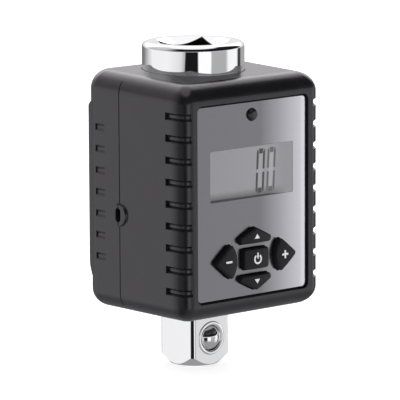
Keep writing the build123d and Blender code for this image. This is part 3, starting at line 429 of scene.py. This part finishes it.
def fitted(name, place):
    """Moves a point of a key or of its hole to where that key's outline is in the photograph."""
    middle = {"plus": side_key_middle, "minus": -side_key_middle}.get(name, 0) * mm
    place.x = key_shift[name] * mm + middle + (place.x - middle) * key_width[name]
    if name == "lower":
        place.z -= lower_key_drop * mm
    if name == "plus":
        place.z = key_centre * mm + (place.z - key_centre * mm) * plus_key_height


panel = copied("front_panel")
for vert in panel.verts:
    aside, up = vert.co.x / mm, vert.co.z / mm - key_centre
    if abs(up) > holes_half_height or abs(aside) > holes_half_width:
        continue
    if abs(aside) > side_holes_from:
        fitted("plus" if aside > 0 else "minus", vert.co)
    elif abs(up) < power_hole_half_height:
        fitted("power", vert.co)
    else:
        fitted("upper" if up > 0 else "lower", vert.co)
piece("punched_panel", panel, "housing", satin, ["front_panel"])

# Display: a grey reflective liquid crystal cell behind a hard coated acrylic pane, which is glued
# into the panel from behind and fills its opening. The cell is opaque here, a shade lighter in its
# middle and inside the figures. Along its lower edge it is painted darker: a painted shadow of the
# panel's edge, fading towards the right.
cell_grey = Finish("display_grey", specular_ior_level=0.5, ior=1.49)
opening_half_width = 13.75
opening_low, opening_high = 44.55, 57.35
figure_lefts = (1.15, 4.72)
figure_width = 2.73
figure_lean = 0.055
figure_low, figure_high = 45.5, 56.5
figure_middle = (figure_low + figure_high) / 2
inside_width, inside_height = (1.0, 0.75), (5.3, 4.4)
inside_shares = (0.3, 0.65)
middle_left, middle_right, middle_share = (-14, 2), (11, 7), 0.2
shade_height, shade_right, shade_share = (2.8, 0.3), (13, 5), 0.72
x, y, z = cell_grey.axes()
upright = x - (z - figure_low) * figure_lean
first_inside, second_inside = [
    (upright - (left + figure_width / 2)).size().step(*inside_width) * share
    for left, share in zip(figure_lefts, inside_shares)
]
inside_figures = (first_inside + second_inside) * (z - figure_middle).size().step(*inside_height)
in_middle = x.step(*middle_left) * x.step(*middle_right) * middle_share
lighter = in_middle + cell_grey.grain(3 * mm, 3) * 0.1 + inside_figures
# Painted shadow along the lower edge of the window, fading towards the right.
painted_lower_shadow = (z - opening_low).step(*shade_height) * x.step(*shade_right) * shade_share
cell_colour = lighter.blend(grey(0.245, 1.04), grey(0.345, 1.04))
cell_grey.feed("Base Color", painted_lower_shadow.blend(cell_colour, grey(0.06, 1.04)))
cell_grey.feed("Roughness", cell_grey.grain(0.4 * mm, 2) * 0.1 + 0.18)
cell_grey.raise_by(cell_grey.grain(0.15 * mm, 2), 0.002 * mm, 0.4)
cell_grey.cover("display_window", "display_glass")


def plate(mesh, outline, front, thickness):
    """Adds a thin upright plate to the mesh: its outline in x and z, its face towards the viewer."""
    corners = [mesh.verts.new((x * mm, front + thickness, z * mm)) for x, z in outline]
    face = mesh.faces.new(corners)
    grown = bmesh.ops.extrude_face_region(mesh, geom=[face])
    moved = [item for item in grown["geom"] if isinstance(item, bmesh.types.BMVert)]
    bmesh.ops.translate(mesh, verts=moved, vec=(0, -thickness, 0))
    bmesh.ops.recalc_face_normals(mesh, faces=mesh.faces)


land_gap = 0.04
land_round = 0.35 * mm
land_overlap = 0.1 * mm
land_sunk = 0.02 * mm
land_front = panel_face + land_sunk
land_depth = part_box("display_window")[0][1] - land_front + land_overlap
land_half_width = opening_half_width - land_gap
land_low, land_high = opening_low + land_gap, opening_high - land_gap
land = bmesh.new()
plate(land, [
    (-land_half_width, land_low), (land_half_width, land_low),
    (land_half_width, land_high), (-land_half_width, land_high),
], land_front, land_depth)
land_corners = [
    edge for edge in land.edges if abs(edge.verts[0].co.y - edge.verts[1].co.y) > land_depth / 2
]
bmesh.ops.bevel(land, geom=land_corners, offset=land_round, segments=4, affect="EDGES",
                profile=0.5, material=-1)
piece("display_land", land, "housing", cell_grey)

# Reading: two noughts of seven-segment figures, dark crystal between clear electrodes. They lean
# to the right, the middle segment of each is off, and the second is a shade paler.
crystal = Finish("dark_crystal", specular_ior_level=0.5)
second_figure_from = (4.0, 4.8)
x, y, z = crystal.axes()
crystal.feed("Base Color", x.step(*second_figure_from).blend(grey(0.05, 1.06), grey(0.11, 1.06)))
crystal.feed("Roughness", crystal.grain(0.4 * mm, 2) * 0.1 + 0.2)
crystal.raise_by(crystal.grain(0.15 * mm, 2), 0.001 * mm, 0.4)
inlay_front = land_front - land_sunk
inlay_depth = 0.06 * mm
stroke_width = 0.66
stroke_tip = (0.35, 0.1)
stroke_outer_end, stroke_inner_end = 0.6, 0.95
stroke_foot, stroke_outer_foot, stroke_inner_foot = 0.3, 0.5, 0.6
cap_height, cap_taper = 1.25, 0.15
for number, left in enumerate(figure_lefts):
    figure = bmesh.new()
    right = left + figure_width
    for way_up, end in ((1, figure_high), (-1, figure_low)):
        cap_left, cap_right = left + stroke_width, right - stroke_width
        cap_end = end - way_up * cap_height
        outlines = [[
            (cap_left, end), (cap_right, end),
            (cap_right - cap_taper, cap_end), (cap_left + cap_taper, cap_end),
        ]]
        for outer, inward in ((left, 1), (right, -1)):
            outlines.append([
                (outer + inward * stroke_tip[0], end - way_up * stroke_tip[1]),
                (outer, end - way_up * stroke_outer_end),
                (outer, figure_middle + way_up * stroke_outer_foot),
                (outer + inward * stroke_width / 2, figure_middle + way_up * stroke_foot),
                (outer + inward * stroke_width, figure_middle + way_up * stroke_inner_foot),
                (outer + inward * stroke_width, end - way_up * stroke_inner_end),
            ])
        for outline in outlines:
            leaned = [(a + (b - figure_low) * figure_lean, b) for a, b in outline]
            plate(figure, leaned, inlay_front, inlay_depth)
    piece("figure_" + str(number), figure, "housing", crystal)

# Window shadow strip: a thin dark grey plate laid along the window's lower edge, thick at the
# left and gone past the middle. It is a painted shadow of the panel's edge on the window.
shadow_strip_finish = Finish("painted_shadow_strip", specular_ior_level=0.3)
shadow_strip_finish.feed("Base Color", shadow_strip_finish.grain(1.2 * mm, 3).blend(grey(0.035, 1.05), grey(0.06, 1.05)))
shadow_strip_finish.feed("Roughness", shadow_strip_finish.grain(0.5 * mm, 2) * 0.2 + 0.4)
shadow_strip_finish.raise_by(shadow_strip_finish.grain(0.3 * mm, 2), 0.01 * mm)
shadow_strip_outline = ((-13.6, 0.02), (11.5, 0.02), (5.0, 0.42), (-13.4, 0.62), (-13.6, 0.45))
shadow_strip_placed = [(across, opening_low + up) for across, up in shadow_strip_outline]
shadow_strip_mesh = bmesh.new()
plate(shadow_strip_mesh, shadow_strip_placed, inlay_front, inlay_depth)
piece("window_painted_shadow", shadow_strip_mesh, "housing", shadow_strip_finish)

# Indicator lamp: a light emitting diode in a domed body of smoked epoxy, pushed through the
# panel from the board.
smoked = Finish("smoked_epoxy", coat_roughness=0.03, specular_ior_level=0.5)
smoked.feed("Base Color", smoked.grain(0.8 * mm, 2).blend(grey(0.006, 1.05), grey(0.014, 1.05)))
smoked.feed("Roughness", smoked.grain(0.5 * mm, 2) * 0.08 + 0.04)
smoked.feed("Coat Weight", smoked.grain(0.6 * mm, 2) * 0.2 + 0.1)
smoked.raise_by(smoked.grain(0.4 * mm, 2), 0.004 * mm, 0.4)
smoked.cover("indicator_lamp")

# Keys: five separate caps moulded in black silicone rubber, with crowned faces and eased edges.
# They stand up through the panel and press on switches on the board. The CAD keys are used, but
# with their fronts moved and narrowed as the holes are, and their heads a little further out.
rubber = Finish("key_rubber", specular_ior_level=0.26, specular_tint=(1, 0.92, 1.04, 1))
rubber.feed("Base Color", rubber.grain(2.5 * mm, 3).blend(grey(0.006, 1.15), grey(0.010, 1.15)))
rubber.feed("Roughness", rubber.grain(1.5 * mm, 3) * 0.12 + 0.30)
rubber.raise_by(rubber.grain(0.16 * mm, 3), 0.006 * mm, 0.5)
key_lift = 0.3 * mm
key_stem_front = -18.5 * mm
for name in key_width:
    cap = copied("key_" + name)
    for vert in cap.verts:
        if vert.co.y < key_stem_front:
            fitted(name, vert.co)
        if vert.co.y < panel_face:
            vert.co.y -= key_lift
    piece("key_cap_" + name, cap, name + "_key", rubber, ["key_" + name])

# Key signs: white ink printed on the crowned faces of the caps: a ring with a bar, a plus, a minus
# and two plain triangles.
ink = Finish("white_ink", specular_ior_level=0.4)
ink_patches = ink.grain(0.6 * mm, 3).step(0.25, 0.75)
ink.feed("Base Color", ink_patches.blend(grey(0.62, 1.02), grey(0.72, 1.02)))
ink.feed("Roughness", ink.grain(0.4 * mm, 2) * 0.15 + 0.4)
ink.raise_by(ink.grain(0.2 * mm, 2), 0.002 * mm)
sign_proud = 0.03 * mm
sign_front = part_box("key_power")[0][1] - key_lift - sign_proud
sign_depth = 0.12 * mm
sign_half = 1.0
stroke_half = 0.25
plus_middle, minus_middle, column_middle = 9.55, -9.08, 0.4
minus_rise = 0.2


def bar(x, z, half_width, half_height):
    return [
        (x - half_width, z - half_height), (x + half_width, z - half_height),
        (x + half_width, z + half_height), (x - half_width, z + half_height),
    ]


plus_outline = (
    (-stroke_half, -sign_half), (stroke_half, -sign_half), (stroke_half, -stroke_half),
    (sign_half, -stroke_half), (sign_half, stroke_half), (stroke_half, stroke_half),
    (stroke_half, sign_half), (-stroke_half, sign_half), (-stroke_half, stroke_half),
    (-sign_half, stroke_half), (-sign_half, -stroke_half), (-stroke_half, -stroke_half),
)
plus_placed = [(plus_middle + across, key_centre + up) for across, up in plus_outline]
plus_sign = bmesh.new()
plate(plus_sign, plus_placed, sign_front, sign_depth)
piece("plus_sign", plus_sign, "plus_key", ink)

minus_placed = bar(minus_middle, key_centre + minus_rise, sign_half, stroke_half)
minus_sign = bmesh.new()
plate(minus_sign, minus_placed, sign_front, sign_depth)
piece("minus_sign", minus_sign, "minus_key", ink)

ring_radius, ring_half, ring_drop = 1.05, 0.22, 0.1
ring_gap = math.radians(34)
ring_steps = 24
ring_sweep = 2 * math.pi - 2 * ring_gap
ring_angles = [
    math.pi / 2 + ring_gap + ring_sweep * step / ring_steps for step in range(ring_steps + 1)
]
ring_edges = ((ring_radius + ring_half, ring_angles), (ring_radius - ring_half, ring_angles[::-1]))
ring_placed = [
    (column_middle + reach * math.cos(angle), key_centre - ring_drop + reach * math.sin(angle))
    for reach, angles in ring_edges for angle in angles
]
ring_bar_middle, ring_bar_half_height = 0.75, 0.72
ring_bar_placed = bar(column_middle, key_centre + ring_bar_middle, ring_half, ring_bar_half_height)
power_sign = bmesh.new()
plate(power_sign, ring_placed, sign_front, sign_depth)
plate(power_sign, ring_bar_placed, sign_front, sign_depth)
piece("power_sign", power_sign, "power_key", ink)

triangle_foot, triangle_height, triangle_half = 5.1, 1.15, 0.85
triangle_middle = column_middle - 0.2
for name, way_up in (("upper", 1), ("lower", -1)):
    foot = key_centre + way_up * triangle_foot
    triangle = [
        (triangle_middle - triangle_half, foot), (triangle_middle + triangle_half, foot),
        (triangle_middle, foot + way_up * triangle_height),
    ]
    sign = bmesh.new()
    plate(sign, triangle, sign_front, sign_depth)
    piece(name + "_sign", sign, name + "_key", ink)

# Circuit board: glass cloth and epoxy under green solder mask, screwed to posts in the front
# shell, with black moulded chips, a buzzer and push switches soldered to it.
solder_mask = Finish("solder_mask", specular_ior_level=0.5)
weave_rate, track_rate = 9, 2.2
x, y, z = solder_mask.axes()
weave = (x * weave_rate).maths("SINE") * (z * weave_rate).maths("SINE")
tracks = (z * track_rate).maths("SINE").step(0.55, 0.75) * x.size().step(3, 5)
board_pattern = tracks * 0.7 + weave * 0.06
solder_mask.feed("Base Color", board_pattern.blend((0.006, 0.060, 0.022, 1), (0.02, 0.12, 0.045, 1)))
solder_mask.feed("Roughness", solder_mask.grain(2 * mm, 2) * 0.1 + 0.28)
solder_mask.raise_by(tracks + weave * 0.1, 0.03 * mm, 0.6)
solder_mask.cover("circuit_board")

moulding = Finish("black_moulding", specular_ior_level=0.4)
moulding.feed("Base Color", moulding.grain(1 * mm, 3).blend(grey(0.016), grey(0.030)))
moulding.feed("Roughness", moulding.grain(0.4 * mm, 3) * 0.15 + 0.5)
moulding.raise_by(moulding.grain(0.12 * mm, 3), 0.01 * mm)
moulding.cover("board_chips", "buzzer", "key_switches")

# Screws: steel with a zinc coat, cold headed and thread rolled, in the board, the shells and the
# cell cover.
zinc = Finish("zinc_coated_steel", metallic=1.0)
zinc.feed("Base Color", zinc.grain(0.9 * mm, 3).blend((0.40, 0.40, 0.41, 1), (0.60, 0.60, 0.61, 1)))
zinc.feed("Roughness", zinc.grain(0.5 * mm, 3) * 0.22 + 0.25)
zinc.raise_by(zinc.grain(0.15 * mm, 2, (1, 1, 0.2)), 0.006 * mm)
zinc.cover("board_screws", "shell_screws", "cover_screws")

# Strain gauges and their lead: etched foil between amber polyimide films, bonded to the waist of
# the shaft, under a black shrunk sleeve, with a flat lead to a cream plug on the board.
amber = Finish("amber_film", coat_roughness=0.1, specular_ior_level=0.5)
foil_rate = 6
x, y, z = amber.axes()
foil = (x * foil_rate).maths("SINE").step(0.2, 0.5) * 0.35 + amber.grain(1.4 * mm, 2) * 0.3
amber.feed("Base Color", foil.blend((0.42, 0.17, 0.03, 1), (0.70, 0.38, 0.10, 1)))
amber.feed("Roughness", amber.grain(0.8 * mm, 2) * 0.1 + 0.2)
amber.raise_by(foil, 0.01 * mm, 0.5)
amber.cover("strain_gauges", "gauge_cable")

sleeving = Finish("shrunk_sleeve", specular_ior_level=0.4)
sleeving.feed("Base Color", sleeving.grain(1.8 * mm, 3).blend(grey(0.014), grey(0.026)))
sleeving.feed("Roughness", sleeving.grain(0.9 * mm, 2) * 0.18 + 0.42)
sleeving.raise_by(sleeving.grain(1.5 * mm, 3, (1, 1, 0.3)), 0.05 * mm)
sleeving.cover("gauge_sleeve")

nylon = Finish("cream_nylon", specular_ior_level=0.5)
nylon.feed("Base Color", nylon.grain(1.2 * mm, 3).blend((0.66, 0.62, 0.50, 1), (0.76, 0.72, 0.60, 1)))
nylon.feed("Roughness", nylon.grain(0.5 * mm, 2) * 0.15 + 0.35)
nylon.raise_by(nylon.grain(0.2 * mm, 2), 0.006 * mm)
nylon.cover("gauge_plug")

# Contact strips of the display: layered silicone, thin black carbon lines between clear ones,
# squeezed between the glass and the board.
zebra = Finish("layered_silicone", specular_ior_level=0.4)
layer_rate = 18
x, y, z = zebra.axes()
layers = (x * layer_rate).maths("SINE").step(-0.3, 0.3)
zebra.feed("Base Color", layers.blend(grey(0.02), grey(0.30)))
zebra.feed("Roughness", zebra.grain(0.6 * mm, 2) * 0.15 + 0.45)
zebra.raise_by(layers, 0.01 * mm, 0.5)
zebra.cover("contact_strips")

# Cells: two AAA cells under printed shrink film, copper coloured round the positive end, with
# bare plated steel at both ends. No words or marks are printed on them.
jacket = Finish("cell_jacket", specular_ior_level=0.5)
cells_low, cells_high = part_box("cells")
cell_low, cell_high = cells_low[2] / mm, cells_high[2] / mm
cell_y = (cells_low[1] + cells_high[1]) / 2 / mm
cell_x = (cells_high[0] - (cells_high[1] - cells_low[1]) / 2) / mm
copper_edge = (cell_high - 11.0, cell_high - 10.8)
bare_top_edge = (cell_high - 0.95, cell_high - 0.9)
bare_bottom_edge = (cell_low + 0.1, cell_low + 0.05)
film_rim = (4.9, 4.7)
x, y, z = jacket.axes()
from_side = x.size() - cell_x
from_back = y - cell_y
cell_reach = (from_side * from_side + from_back * from_back).maths("SQRT")
copper_end = z.step(*copper_edge)
bare_ends = (z.step(*bare_top_edge) + z.step(*bare_bottom_edge)).maths("MINIMUM", 1.0)
bare = bare_ends * cell_reach.step(*film_rim)
film = copper_end.blend(grey(0.020, 1.1), (0.50, 0.20, 0.07, 1))
film = (jacket.grain(2 * mm, 3) * 0.15).blend(film, grey(0.06))
jacket.feed("Base Color", bare.blend(film, (0.62, 0.61, 0.58, 1)))
jacket.feed("Metallic", (bare + copper_end * 0.6).maths("MINIMUM", 1.0))
jacket.feed("Roughness", jacket.grain(1.5 * mm, 2) * 0.12 + bare * 0.05 + 0.22)
jacket.raise_by(jacket.grain(3 * mm, 2), 0.02 * mm, 0.4)
jacket.cover("cells")

# Cell contacts: plates above and below each cell, with strips that run forward to the board. They
# are stamped from spring bronze strip and nickel plated.
nickel = Finish("nickel_plated_strip", metallic=1.0)
nickel.feed("Base Color", nickel.grain(1.6 * mm, 3).blend((0.56, 0.52, 0.42, 1), (0.74, 0.70, 0.60, 1)))
nickel.feed("Roughness", nickel.grain(0.6 * mm, 3, (0.2, 1, 1)) * 0.2 + 0.2)
nickel.raise_by(nickel.grain(0.4 * mm, 2, (0.2, 1, 1)), 0.004 * mm)
nickel.cover("battery_contacts")
